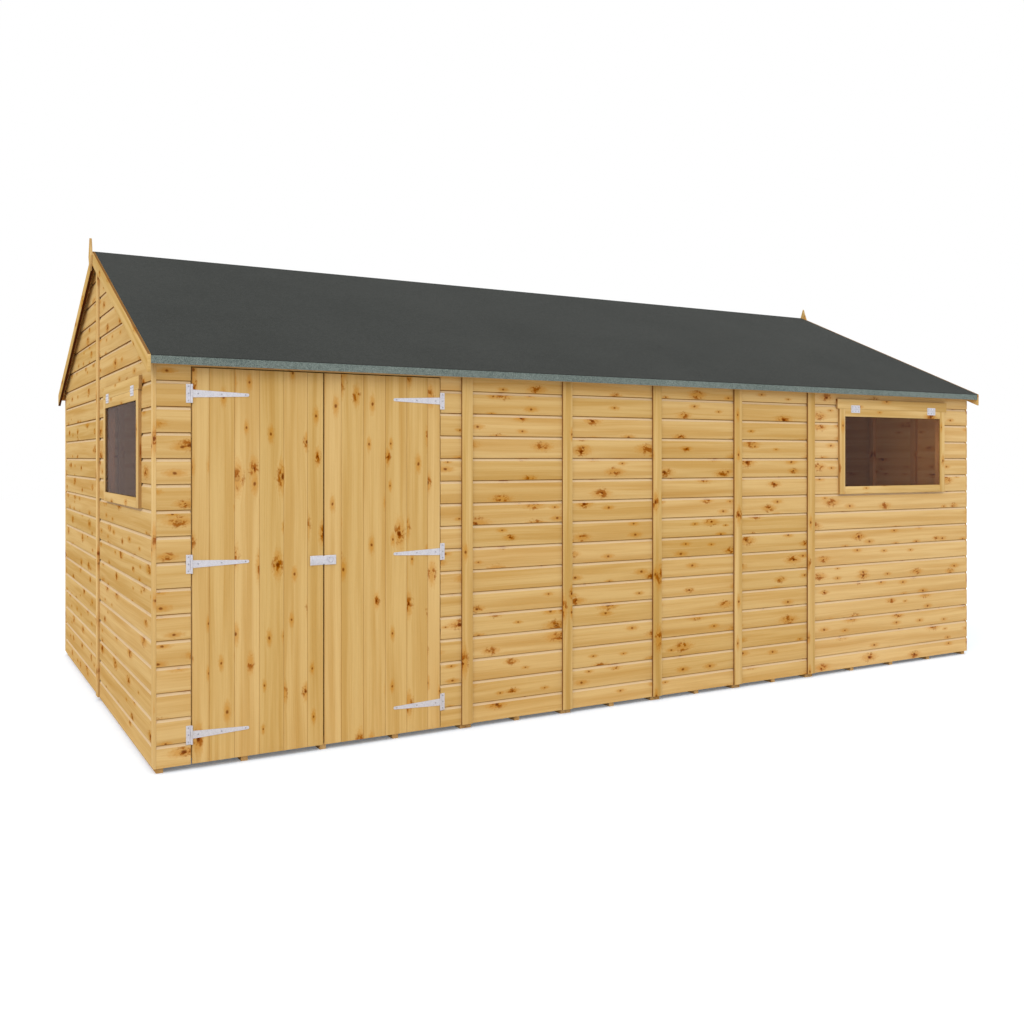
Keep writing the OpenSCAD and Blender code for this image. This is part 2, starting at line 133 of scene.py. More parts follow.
def startGroup(name, inputs, outputs):
    group = bpy.data.node_groups.new(name, "ShaderNodeTree")
    kinds = {"vector": "NodeSocketVector", "value": "NodeSocketFloat", "colour": "NodeSocketColor"}
    for label, kind in inputs:
        group.interface.new_socket(name=label, in_out="INPUT", socket_type=kinds[kind])
    for label, kind in outputs:
        group.interface.new_socket(name=label, in_out="OUTPUT", socket_type=kinds[kind])
    return group, addNode(group, "NodeGroupInput").outputs, addNode(group, "NodeGroupOutput").inputs


def startMaterial(name):
    material = bpy.data.materials.new(name)
    material.use_nodes = True
    return material, material.node_tree, material.node_tree.nodes["Principled BSDF"]


# Pine: long grain that parts round its knots

def knotField(tree, grain, step, sizes, share, shift):
    # scattered knots: core, eye, burst and warm halo, and how far the grain is pushed aside
    moved = vectorCalc(tree, "ADD", grain, shift)
    cellSpace = vectorCalc(tree, "DIVIDE", moved, (step[0], step[1], 1))
    cells = addNode(tree, "ShaderNodeTexVoronoi", {"voronoi_dimensions": "2D"},
                    {"Vector": cellSpace, "Scale": 1.0, "Randomness": 0.62})
    away = vectorCalc(tree, "MULTIPLY", vectorCalc(tree, "SUBTRACT", cellSpace, cells.outputs["Position"]),
                      (step[0], step[1], 0))
    reach = addNode(tree, "ShaderNodeSeparateXYZ", {}, {0: away}).outputs
    chance = addNode(tree, "ShaderNodeSeparateColor", {}, {0: cells.outputs["Color"]}).outputs
    present = calc(tree, "LESS_THAN", chance[0], share)
    size = spread(tree, chance[1], sizes[0], sizes[1])
    wobble = spread(tree, noise(tree, grain, (70, 95, 1), 2), 0.45, 1.55)
    acrossSquare = calc(tree, "MULTIPLY", reach[1], reach[1])

    def distance(squeeze):
        alongSquare = calc(tree, "POWER", calc(tree, "MULTIPLY", reach[0], squeeze), 2.0)
        length = calc(tree, "SQRT", calc(tree, "ADD", alongSquare, acrossSquare))
        return calc(tree, "DIVIDE", length, size)

    near = calc(tree, "MULTIPLY", distance(0.7), wobble)
    core = calc(tree, "MULTIPLY", fade(tree, near, 1.15, 0.35), present)
    eye = calc(tree, "MULTIPLY", fade(tree, near, 0.95, 0.5), present)
    burst = calc(tree, "MULTIPLY", fade(tree, near, 3.3, 1.3), present)
    around = calc(tree, "MULTIPLY", distance(0.34), wobble)
    halo = calc(tree, "MULTIPLY", fade(tree, around, 3.1, 0.6), present)
    parting = calc(tree, "MULTIPLY", fade(tree, distance(0.3), 3.6, 0.4), present)
    push = calc(tree, "MULTIPLY", parting, reach[1])
    return {"core": core, "eye": eye, "burst": burst, "halo": halo, "push": push, "kind": chance[2]}


def makePineFigure():
    group, given, result = startGroup(
        "pineFigure",
        [("Grain", "vector"), ("Tone", "value"), ("Knots", "value"),
         ("Pale", "colour"), ("Honey", "colour"), ("Amber", "colour")],
        [("Color", "colour"), ("Roughness", "value"), ("Height", "value")])
    grain = given["Grain"]
    large = knotField(group, grain, (0.40, 0.118), (0.0065, 0.0128), given["Knots"], (3.1, 7.7, 0))
    small = knotField(group, grain, (0.23, 0.083), (0.004, 0.0082),
                      calc(group, "MULTIPLY", given["Knots"], 0.68), (11.3, 2.9, 0))
    # some large knots are whole, some ring a pale eye, and round them lies a burst of flecks
    fleck = fade(group, noise(group, grain, (25, 42, 1), 3), 0.47, 0.56)
    whole = fade(group, large["kind"], 0.46, 0.52)
    broken = calc(group, "MAXIMUM", whole, fleck)
    hasEye = calc(group, "GREATER_THAN", large["kind"], 0.74)
    eye = calc(group, "MULTIPLY", large["eye"], hasEye)
    largeCore = calc(group, "MULTIPLY", calc(group, "MULTIPLY", large["core"], broken),
                     calc(group, "SUBTRACT", 1.0, calc(group, "MULTIPLY", eye, 0.8)))
    core = calc(group, "MAXIMUM", largeCore, calc(group, "MULTIPLY", small["core"], 0.86))
    burst = calc(group, "MULTIPLY", large["burst"], fleck)
    halo = calc(group, "MAXIMUM", large["halo"], small["halo"])
    push = calc(group, "ADD", large["push"], small["push"])

    # growth lines follow the board and flow round the knots
    place = addNode(group, "ShaderNodeSeparateXYZ", {}, {0: grain}).outputs
    sway = spread(group, noise(group, grain, (1.3, 5, 1), 1), -0.014, 0.014)
    across = calc(group, "ADD", calc(group, "SUBTRACT", place[1], push), sway)
    flow = addNode(group, "ShaderNodeCombineXYZ", {}, {0: place[0], 1: across, 2: 0.0}).outputs[0]
    band = fade(group, noise(group, flow, (0.7, 21, 1), 3), 0.36, 0.66)
    lines = fade(group, noise(group, flow, (1.6, 165, 1), 2), 0.47, 0.7)
    heart = fade(group, noise(group, flow, (0.45, 9, 1), 1), 0.56, 0.74)
    fibre = noise(group, grain, (22, 950, 1), 1)

    colour = mixColour(group, band, given["Pale"], given["Honey"])
    colour = mixColour(group, calc(group, "MULTIPLY", lines, 0.2), colour, given["Amber"])
    colour = mixColour(group, calc(group, "MULTIPLY", heart, 0.34), colour, given["Amber"])
    colour = mixColour(group, calc(group, "MULTIPLY", halo, 0.58), colour, paint(197, 130, 32))
    colour = mixColour(group, calc(group, "MULTIPLY", burst, 0.88), colour, paint(156, 86, 18))
    colour = mixColour(group, calc(group, "MULTIPLY", core, 0.92), colour, paint(112, 48, 8))
    shade = calc(group, "ADD", spread(group, given["Tone"], 0.95, 1.04), spread(group, fibre, -0.05, 0.05))
    colour = addNode(group, "ShaderNodeHueSaturation", {},
                     {"Saturation": spread(group, given["Tone"], 1.035, 0.99), "Value": shade,
                      "Color": colour}).outputs[0]
    group.links.new(colour, result["Color"])
    dull = calc(group, "ADD", spread(group, lines, 0.56, 0.64), spread(group, core, 0.0, -0.16))
    group.links.new(dull, result["Roughness"])
    relief = calc(group, "ADD", calc(group, "MULTIPLY", lines, 0.45), calc(group, "MULTIPLY", fibre, 0.3))
    group.links.new(calc(group, "ADD", relief, calc(group, "MULTIPLY", core, 0.7)), result["Height"])
    return group


# Grooves: a painted highlight, pale, on the lower part of each scoop, and painted shade, brown, in the deep
# of the scoops, under the boards, in the Vs and on the marked edges

def makeGroovePaintedLight():
    group, given, result = startGroup("groovePaintedLight", [("Color", "colour"), ("Groove", "value")],
                                      [("Color", "colour")])
    depth = given["Groove"]
    # painted highlight on the lower, upward-facing part of a scoop
    paintedHighlight = calc(group, "MULTIPLY", fade(group, depth, 0.4, 1.0), fade(group, depth, 1.75, 1.6))
    # painted shade where the groove value is deep
    stainAndPaintedShade = fade(group, depth, 1.62, 1.95)
    colour = mixColour(group, calc(group, "MULTIPLY", paintedHighlight, 0.75), given["Color"], paint(228, 202, 164))
    colour = mixColour(group, calc(group, "MULTIPLY", stainAndPaintedShade, 0.8), colour, paint(118, 70, 34))
    # the darkest painted shade, under the barge boards
    colour = mixColour(group, fade(group, depth, 2.1, 2.4), colour, paint(74, 36, 16))
    group.links.new(colour, result["Color"])
    return group


pineFigure = makePineFigure()
groovePaintedLight = makeGroovePaintedLight()

planedPine = {
    "claddingPine": {"pale": (220, 185, 124), "honey": (206, 165, 100), "amber": (187, 134, 58),
                     "knots": 0.64},
    "doorPine": {"pale": (218, 183, 121), "honey": (203, 163, 98), "amber": (188, 137, 62),
                 "knots": 0.54},
    "trimPine": {"pale": (222, 188, 127), "honey": (199, 160, 94), "amber": (190, 140, 66),
                 "knots": 0.58},
    "floorPine": {"pale": (214, 178, 118), "honey": (196, 154, 90), "amber": (176, 124, 58),
                  "knots": 0.5},
    "roofPine": {"pale": (196, 156, 100), "honey": (176, 134, 80), "amber": (156, 108, 54),
                 "knots": 0.5},
}


def finishPine(tree, principled, grain, tone, look):
    figure = addNode(tree, "ShaderNodeGroup", {"node_tree": pineFigure},
                     {"Grain": grain, "Tone": tone, "Knots": look["knots"], "Pale": paint(*look["pale"]),
                      "Honey": paint(*look["honey"]), "Amber": paint(*look["amber"])}).outputs
    tree.links.new(figure["Roughness"], principled.inputs["Roughness"])
    bump = addNode(tree, "ShaderNodeBump", {},
                   {"Strength": 0.35, "Distance": 0.0008, "Height": figure["Height"]})
    tree.links.new(bump.outputs[0], principled.inputs["Normal"])
    principled.inputs["Specular IOR Level"].default_value = 0.0
    return figure["Color"]


def makePlanedPine(name, look):
    material, tree, principled = startMaterial(name)
    grain = addNode(tree, "ShaderNodeUVMap", {"uv_map": "grain"}).outputs[0]
    tone = addNode(tree, "ShaderNodeAttribute", {"attribute_name": "boardTone"}).outputs["Fac"]
    groove = addNode(tree, "ShaderNodeAttribute", {"attribute_name": "groove"}).outputs["Fac"]
    colour = finishPine(tree, principled, grain, tone, look)
    shaded = addNode(tree, "ShaderNodeGroup", {"node_tree": groovePaintedLight}, {"Color": colour, "Groove": groove})
    tree.links.new(shaded.outputs[0], principled.inputs["Base Color"])
    return material


materials = {name: makePlanedPine(name, look) for name, look in planedPine.items()}

sawnPine = {"pale": (206, 170, 116), "honey": (188, 146, 90), "amber": (166, 116, 62), "knots": 0.42,
            "gableX": 2.66}  # framing further out than this belongs to a gable


def makeSawnPine(name, lay):
    # framing keeps its CAD shape, so its grain is laid by place: upright, deep, long, round or sloping
    material, tree, principled = startMaterial(name)
    place = addNode(tree, "ShaderNodeTexCoord").outputs["Object"]
    x, y, z = addNode(tree, "ShaderNodeSeparateXYZ", {}, {0: place}).outputs
    if lay == "upright":
        along, across = z, calc(tree, "ADD", x, y)
    elif lay == "deep":
        along, across = y, calc(tree, "ADD", x, z)
    elif lay == "long":
        along, across = x, calc(tree, "ADD", y, z)
    elif lay == "round":
        side = calc(tree, "GREATER_THAN", calc(tree, "ABSOLUTE", x), sawnPine["gableX"])
        along = addNode(tree, "ShaderNodeMix", {}, {0: side, 2: x, 3: y}).outputs[0]
        across = calc(tree, "ADD", addNode(tree, "ShaderNodeMix", {}, {0: side, 2: y, 3: x}).outputs[0], z)
    else:
        rise = calc(tree, "MULTIPLY", calc(tree, "ABSOLUTE", y), math.tan(roof["pitch"]))
        along, across = y, calc(tree, "ADD", calc(tree, "ADD", z, rise), x)
    grain = addNode(tree, "ShaderNodeCombineXYZ", {}, {0: along, 1: across, 2: 0.0}).outputs[0]
    tone = noise(tree, place, (1.7, 1.7, 0.2), 0)
    colour = finishPine(tree, principled, grain, tone, sawnPine)
    tree.links.new(colour, principled.inputs["Base Color"])
    return material


framing = {
    "floor_bearers": "deep", "sole_plates": "round", "top_plates": "long", "wall_studs": "upright",
    "window_rails": "round", "front_rafters": "sloping", "back_rafters": "sloping", "ridge_board": "long",
    "eaves_battens": "long",
}
for lay in sorted(set(framing.values())):
    materials["sawn-" + lay] = makeSawnPine("sawn-" + lay, lay)


# Felt: dark mineral grit on the slopes, blue-grey at the eaves

def makeFeltGrit():
    group, given, result = startGroup(
        "feltGrit", [("Place", "vector"), ("Dark", "colour"), ("Light", "colour")],
        [("Color", "colour"), ("Height", "value"), ("Roughness", "value")])
    grit = noise(group, given["Place"], (330, 330, 330), 2)
    cloud = noise(group, given["Place"], (1.6, 1.6, 1.6), 4)
    blotch = noise(group, given["Place"], (45, 45, 45), 2)
    share = calc(group, "ADD", fade(group, grit, 0.36, 0.66), spread(group, cloud, -0.35, 0.35))
    share = calc(group, "ADD", share, spread(group, blotch, -0.3, 0.3), clamp=True)
    group.links.new(mixColour(group, share, given["Dark"], given["Light"]), result["Color"])
    group.links.new(calc(group, "ADD", grit, calc(group, "MULTIPLY", blotch, 0.6)), result["Height"])
    group.links.new(spread(group, grit, 0.78, 0.95), result["Roughness"])
    return group


feltGrit = makeFeltGrit()
felts = {
    "roofFelt": {"dark": (40, 43, 40), "light": (65, 67, 64), "relief": 0.4},
    "eavesFelt": {"dark": (86, 98, 94), "light": (134, 145, 139), "relief": 0.5},
}


def makeFelt(name, look):
    material, tree, principled = startMaterial(name)
    place = addNode(tree, "ShaderNodeTexCoord").outputs["Object"]
    grit = addNode(tree, "ShaderNodeGroup", {"node_tree": feltGrit},
                   {"Place": place, "Dark": paint(*look["dark"]), "Light": paint(*look["light"])}).outputs
    tree.links.new(grit["Color"], principled.inputs["Base Color"])
    tree.links.new(grit["Roughness"], principled.inputs["Roughness"])
    bump = addNode(tree, "ShaderNodeBump", {}, {"Strength": look["relief"], "Distance": 0.0015,
                                                "Height": grit["Height"]})
    tree.links.new(bump.outputs[0], principled.inputs["Normal"])
    principled.inputs["Specular IOR Level"].default_value = 0.2
    return material


for name, look in felts.items():
    materials[name] = makeFelt(name, look)


# Galvanised iron: bright zinc with a faint spangle

zinc = {
    "galvanised": {"bright": (230, 228, 234), "dim": (200, 199, 207), "metal": 0.55},
    "screwSteel": {"bright": (196, 194, 201), "dim": (164, 162, 169), "metal": 0.6},
}


def makeZinc(name, look):
    material, tree, principled = startMaterial(name)
    place = addNode(tree, "ShaderNodeTexCoord").outputs["Object"]
    flakes = addNode(tree, "ShaderNodeTexVoronoi", {}, {"Vector": place, "Scale": 240.0})
    flake = addNode(tree, "ShaderNodeSeparateColor", {}, {0: flakes.outputs["Color"]}).outputs[0]
    stainAndPaintedShade = noise(tree, place, (60, 60, 60), 3)
    share = calc(tree, "ADD", calc(tree, "MULTIPLY", flake, 0.5), calc(tree, "MULTIPLY", stainAndPaintedShade, 0.6),
                 clamp=True)
    tree.links.new(mixColour(tree, share, paint(*look["bright"]), paint(*look["dim"])),
                   principled.inputs["Base Color"])
    tree.links.new(spread(tree, share, 0.3, 0.46), principled.inputs["Roughness"])
    bump = addNode(tree, "ShaderNodeBump", {}, {"Strength": 0.15, "Distance": 0.0004, "Height": stainAndPaintedShade})
    tree.links.new(bump.outputs[0], principled.inputs["Normal"])
    principled.inputs["Metallic"].default_value = look["metal"]
    return material


for name, look in zinc.items():
    materials[name] = makeZinc(name, look)


# Thin clear glazing with a faint brown cast; its low index keeps the white studio from veiling the inside

glass = {"cast": (198, 174, 164), "ior": 1.02, "clear": 0.955}


def makeGlass():
    material, tree, principled = startMaterial("pane")
    place = addNode(tree, "ShaderNodeTexCoord").outputs["Object"]
    haze = noise(tree, place, (9, 9, 9), 3)
    tree.links.new(spread(tree, haze, 0.0, 0.03), principled.inputs["Roughness"])
    principled.inputs["Base Color"].default_value = paint(*glass["cast"])
    principled.inputs["IOR"].default_value = glass["ior"]
    principled.inputs["Transmission Weight"].default_value = glass["clear"]
    return material


materials["pane"] = makeGlass()
print("shed: materials made,", len(materials))


# Helpers for modelling

def clearSelection():
    if bpy.context.object and bpy.context.object.mode != "OBJECT":
        bpy.ops.object.mode_set(mode="OBJECT")
    bpy.ops.object.select_all(action="DESELECT")


def takeUp(piece):
    clearSelection()
    piece.select_set(True)
    bpy.context.view_layer.objects.active = piece


def editAll():
    bpy.ops.object.mode_set(mode="EDIT")
    bpy.ops.mesh.select_all(action="SELECT")


def endEdit():
    bpy.ops.object.mode_set(mode="OBJECT")


def pick(kind, parts, test):
    # in edit mode: only what passes the test stays selected
    bpy.ops.mesh.select_mode(type=kind)
    bpy.ops.mesh.select_all(action="DESELECT")
    work = bmesh.from_edit_mesh(bpy.context.object.data)
    for part in getattr(work, parts):
        part.select_set(test(part))
    if kind == "VERT":
        work.select_flush(True)
    bmesh.update_edit_mesh(bpy.context.object.data)


def pickEdges(test):
    pick("EDGE", "edges", lambda edge: test(edge.verts[0].co, edge.verts[1].co))


def pickVerts(test):
    pick("VERT", "verts", lambda vert: test(vert.co))


def pickFaces(test):
    pick("FACE", "faces", test)


def addBlock(low, high):
    clearSelection()
    low, high = Vector(low), Vector(high)
    bpy.ops.mesh.primitive_cube_add(size=1, location=(low + high) / 2)
    block = bpy.context.object
    block.scale = high - low
    bpy.ops.object.transform_apply(location=True, rotation=True, scale=True)
    return block


def addPlank(low, high, arris):
    # block with all its edges softened
    plank = addBlock(low, high)
    editAll()
    bpy.ops.mesh.bevel(offset=arris, segments=2, affect="EDGES")
    endEdit()
    return plank


def joinAll(name, blocks):
    takeUp(blocks[0])
    for block in blocks:
        block.select_set(True)
    if len(blocks) > 1:
        bpy.ops.object.join()
    piece = bpy.context.object
    piece.name = name
    piece.data.name = name
    return piece


def applyModifier(piece, kind, settings):
    takeUp(piece)
    modifier = piece.modifiers.new(kind.lower(), kind)
    for key, value in settings.items():
        setattr(modifier, key, value)
    bpy.ops.object.modifier_apply(modifier=modifier.name)


def repeatPiece(piece, count, step):
    applyModifier(piece, "ARRAY", {"count": count, "use_relative_offset": False,
                                   "use_constant_offset": True, "constant_offset_displace": step})


def softenEdges(piece, width, sharper):
    # bevels the edges that turn by more than an angle in degrees
    applyModifier(piece, "BEVEL", {"width": width, "segments": 2, "limit_method": "ANGLE",
                                   "angle_limit": math.radians(sharper)})


def cutOff(piece, point, outward):
    # saws away what lies beyond a plane and closes the cut
    takeUp(piece)
    editAll()
    bpy.ops.mesh.bisect(plane_co=point, plane_no=outward, use_fill=True, clear_outer=True)
    bpy.ops.mesh.select_all(action="SELECT")
    bpy.ops.mesh.dissolve_degenerate(threshold=2e-5)
    endEdit()


def turnPiece(piece, angle):
    takeUp(piece)
    piece.rotation_euler = (0, 0, angle)
    bpy.ops.object.transform_apply(location=True, rotation=True, scale=True)


def turned(point, angle):
    return Vector((point[0] * math.cos(angle) - point[1] * math.sin(angle),
                   point[0] * math.sin(angle) + point[1] * math.cos(angle), point[2]))


def boardGroups(work):
    # loose boards of a mesh, each as a list of its faces, in the order of the faces
    seen = set()
    groups = []
    work.faces.ensure_lookup_table()
    for start in work.faces:
        if start.index in seen:
            continue
        seen.add(start.index)
        stack = [start]
        members = []
        while stack:
            face = stack.pop()
            members.append(face)
            for vert in face.verts:
                for near in vert.link_faces:
                    if near.index not in seen:
                        seen.add(near.index)
                        stack.append(near)
        groups.append(members)
    return groups


def reachAlong(corners, way):
    steps = [co.dot(way) for co in corners]
    return max(steps) - min(steps)


grainSpan = 60  # metres of figured wood that the boards are taken from
plainTones = (0, 1)


def layGrain(piece, directions, edgeShadeDepth=None, getsEdgeShade=lambda co: True, tones=plainTones):
    # UV map "grain" in metres along and across each board, a tone for each board, and painted shade, brown,
    # on the edges
    work = bmesh.new()
    work.from_mesh(piece.data)
    work.faces.index_update()
    grain = work.loops.layers.uv.new("grain")
    tone = work.faces.layers.float.new("boardTone")
    groove = work.loops.layers.float.get("groove") or work.loops.layers.float.new("groove")
    for members in boardGroups(work):
        corners = [vert.co for face in members for vert in face.verts]
        along = max(directions, key=lambda way: reachAlong(corners, way))
        thin = min((acrossX, acrossY, upZ), key=lambda way: reachAlong(corners, way))
        first = acrossX if abs(along.x) < 0.9 else acrossY
        second = along.cross(first)
        shiftU = dice.uniform(0, grainSpan)
        shiftV = dice.uniform(0, grainSpan)
        boardTone = dice.uniform(*tones)
        for face in members:
            face[tone] = boardTone
            isEnd = abs(face.normal.dot(along)) > 0.8
            isShadedEdge = edgeShadeDepth and abs(face.normal.dot(thin)) < 0.4 and getsEdgeShade(corners[0])
            for loop in face.loops:
                co = loop.vert.co
                u, v = co.dot(along), co.dot(first) + co.dot(second)
                if isEnd:
                    u, v = co.dot(first), co.dot(second)
                loop[grain].uv = (u + shiftU, v + shiftV)
                if isShadedEdge:
                    loop[groove] = edgeShadeDepth
    work.to_mesh(piece.data)
    work.free()


def markGrooves(piece, depthOf):
    # "groove" is set where depthOf gives a depth for a face's normal and a corner
    work = bmesh.new()
    work.from_mesh(piece.data)
    groove = work.loops.layers.float.get("groove") or work.loops.layers.float.new("groove")
    for face in work.faces:
        for loop in face.loops:
            depth = depthOf(face.normal, loop.vert.co)
            if depth is not None:
                loop[groove] = depth
    work.to_mesh(piece.data)
    work.free()


def markFaces(piece, test, depth):
    # sets the painted shade of the faces whose normal passes the test
    markGrooves(piece, lambda normal, co: depth if test(normal) else None)


smoothAngle = math.radians(28)


def finishPiece(piece, material, body, slot, *replaced):
    piece.data.materials.clear()
    piece.data.materials.append(materials[material])
    takeUp(piece)
    bpy.ops.object.shade_smooth_by_angle(angle=smoothAngle)
    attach(piece, body)
    if replaced:
        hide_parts(*replaced)


# Shiplap cladding: boards with a scooped top edge under the square lower edge of the next

shiplap = {
    "cover": 0.1125,
    "firstGroove": 0.1225,
    "scoopHigh": 0.016,
    "scoopDeep": 0.0066,
    "scoopSteps": 5,
    "scoopProfile": 0.1,
    "lowerArris": 0.0012,
    "underShadeDepth": 1.85,  # how dark the painted shade under a board is
}
# turn of each wall from the front, in degrees, and where the roof cuts it: eaves, or a side of a gable
walls = {
    "front_wall_left": {"turn": 0, "roof": "eaves", "tones": (0.4, 1)},
    "front_wall_header": {"turn": 0, "roof": "eaves"},
    "front_wall_right": {"turn": 0, "roof": "eaves"},
    "front_wall_panels": {"turn": 0, "roof": "eaves", "panels": 4},
    "front_window_wall": {"turn": 0, "roof": "eaves", "window": True, "tones": (1.3, 1.9)},
    "back_wall_panels": {"turn": 180, "roof": "eaves"},
    "left_gable_front": {"turn": -90, "roof": "falls right", "window": True, "tones": (0.5, 1.2)},
    "left_gable_back": {"turn": -90, "roof": "falls left"},
    "right_gable_front": {"turn": 90, "roof": "falls left"},
    "right_gable_back": {"turn": 90, "roof": "falls right"},
}
sash = {"lap": 0.025, "rail": 0.048, "rebate": 0.010, "depth": 0.016, "backDepth": 0.008, "arris": 0.0015,
        "tones": (0.7, 1.4)}
panelGap = 0.002


def shiplapPanel(low, high, wallTop=None):
    # drawn as a front wall, its face towards -Y, then turned to its place by the caller
    thick = high.y - low.y
    swell = shiplap["scoopHigh"] / shiplap["scoopDeep"]
    cover = shiplap["cover"]
    firstRow = math.floor((low.z - shiplap["firstGroove"]) / cover + 1e-4)
    bottom = shiplap["firstGroove"] + firstRow * cover
    top = bottom + cover
    front = high.y - thick * swell
    panel = addBlock((low.x, front, bottom), (high.x, high.y, top))
    editAll()

    def onFrontEdge(level):
        return lambda a, b: all(abs(co.y - front) < 1e-5 and abs(co.z - level) < 1e-5 for co in (a, b))

    pickEdges(onFrontEdge(top))
    bpy.ops.mesh.bevel(offset=shiplap["scoopHigh"], segments=shiplap["scoopSteps"],
                       profile=shiplap["scoopProfile"], affect="EDGES")
    pickEdges(onFrontEdge(bottom))
    bpy.ops.mesh.bevel(offset=shiplap["lowerArris"], segments=1, affect="EDGES")
    bpy.ops.mesh.select_all(action="SELECT")
    bpy.ops.transform.resize(value=(1, 1 / swell, 1), center_override=(0, high.y, 0))
    endEdit()
    rows = math.ceil((high.z - bottom) / cover - 1e-4)
    repeatPiece(panel, rows, (0, 0, cover))
    if low.z > bottom + 1e-4:
        cutOff(panel, (0, 0, low.z), (0, 0, -1))
    if wallTop:
        cutOff(panel, wallTop["point"], wallTop["outward"])
    elif high.z < bottom + rows * cover - 1e-4:
        cutOff(panel, (0, 0, high.z), (0, 0, 1))
    return panel


def grooveNear(level, rounding):
    steps = rounding((level - shiplap["firstGroove"]) / shiplap["cover"])
    return shiplap["firstGroove"] + steps * shiplap["cover"]


def panelRoundWindow(low, high, wallTop, window):
    # whole boards under and over the window, cut boards beside it, and offcuts behind its sash
    under, over = grooveNear(window["low"].z, math.floor), grooveNear(window["high"].z, math.ceil)
    spans = [
        (low.x, high.x, low.z, under, None),
        (low.x, window["low"].x, under, over, None),
        (window["high"].x, high.x, under, over, None),
        (window["low"].x, window["high"].x, under, window["low"].z, None),
        (window["low"].x, window["high"].x, window["high"].z, over, None),
        (low.x, high.x, over, high.z, wallTop),
    ]
    return [shiplapPanel(Vector((x0, low.y, z0)), Vector((x1, high.y, z1)), cut)
            for x0, x1, z0, z1, cut in spans]


def scoopDepth(normal, co):
    # from 1 at the lower end of a scoop to 2 at its deep end
    # painted shade on the underside of each board
    if normal.z < -0.5:
        return shiplap["underShadeDepth"]
    if normal.y < -0.05 and 0.05 < normal.z:
        down = (shiplap["firstGroove"] - co.z + 1e-5) % shiplap["cover"]
        return 1 + max(0, 1 - down / shiplap["scoopHigh"])
    return None


def drawnBox(node, angle):
    # a node's box, turned back to the drawn wall
    low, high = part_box(node)
    a, b = turned(low, -angle), turned(high, -angle)
    return Vector((min(a.x, b.x), min(a.y, b.y), low.z)), Vector((max(a.x, b.x), max(a.y, b.y), high.z))


windowSize = {"width": 1.010, "height": 0.540, "frontX": 1.950, "gableY": -0.78125}
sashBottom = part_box("window_sashes")[0].z


def cladWall(node, plan):
    angle = math.radians(plan["turn"])
    low, high = drawnBox(node, angle)
    pitch = roof["pitch"]
    if plan["roof"] == "eaves":
        wallTop = {"point": (0, high.y, high.z), "outward": (0, -math.sin(pitch), math.cos(pitch))}
    elif plan["roof"] == "falls right":
        wallTop = {"point": (low.x, 0, high.z), "outward": (math.sin(pitch), 0, math.cos(pitch))}
    else:
        wallTop = {"point": (high.x, 0, high.z), "outward": (-math.sin(pitch), 0, math.cos(pitch))}
    window = None
    if plan.get("window"):
        middle = windowSize["frontX"] if plan["turn"] == 0 else -windowSize["gableY"]
        half = windowSize["width"] / 2 - sash["lap"]
        window = {"low": Vector((middle - half, 0, sashBottom + sash["lap"])),
                  "high": Vector((middle + half, 0, sashBottom + windowSize["height"] - sash["lap"]))}
    joints = [low.x - panelGap / 2, high.x + panelGap / 2]
    if node == "back_wall_panels":
        joints = [-high.x] + panelJoints + [high.x]
    elif plan.get("panels"):
        joints = panelJoints
    panels = []
    for start, end in zip(joints, joints[1:]):
        first = Vector((max(start + panelGap / 2, low.x), low.y, low.z))
        last = Vector((min(end - panelGap / 2, high.x), high.y, high.z))
        if window:
            panels += panelRoundWindow(first, last, wallTop, window)
        else:
            panels.append(shiplapPanel(first, last, wallTop))
    piece = joinAll(node + "-boards", panels)
    # the scoops get a painted highlight and painted shade, and the undersides painted shade
    markGrooves(piece, scoopDepth)
    layGrain(piece, [acrossX], tones=plan.get("tones", plainTones))
    turnPiece(piece, angle)
    finishPiece(piece, "claddingPine", "shed", "cladding_pine", node)


midLow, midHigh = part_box("front_wall_panels")
midCount = walls["front_wall_panels"]["panels"]
midWidth = (midHigh.x - midLow.x + panelGap) / midCount
panelJoints = [midLow.x - panelGap / 2 + midWidth * i for i in range(midCount + 1)]
for node, plan in walls.items():
    cladWall(node, plan)
print("shed: shiplap walls made")


# Doors: upright boards with a V at each joint, ledges and braces behind

leaf = {
    "fullBoard": 0.112,
    "vee": 0.0015,
    "veeShadeDepth": 1.74,  # how dark the painted shade in the Vs is, on the scale of the grooves
    "ledgeWidth": 0.070,
    "ledgeArris": 0.003,
    "tones": (-0.3, 1.3),  # boards of a leaf differ more than those of a wall
}
leaves = {
    "left": {"body": "left_door", "firstBoard": 0.073, "lean": 1},
    "right": {"body": "right_door", "firstBoard": 0.082, "lean": -1},
}


def leafBoards(side, plan):
    node = side + "_door_boards"
    low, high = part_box(node)
    seams = [low.x, low.x + plan["firstBoard"]]
    while seams[-1] + 1.4 * leaf["fullBoard"] < high.x:
        seams.append(seams[-1] + leaf["fullBoard"])
    seams.append(high.x)
    boards = []
    for start, end in zip(seams, seams[1:]):
        boards.append(addBlock((start, low.y, low.z), (end, high.y, high.z)))
        editAll()
        pickEdges(lambda a, b: abs(a.z - b.z) > leaf["fullBoard"])
        bpy.ops.mesh.bevel(offset=leaf["vee"], segments=1, affect="EDGES")
        endEdit()
    piece = joinAll(node + "-vjointed", boards)
    # painted shade in the Vs
    markFaces(piece, lambda normal: 0.3 < abs(normal.x) < 0.95, leaf["veeShadeDepth"])
    layGrain(piece, [upZ], tones=leaf["tones"])
    finishPiece(piece, "doorPine", plan["body"], "door_pine", node)


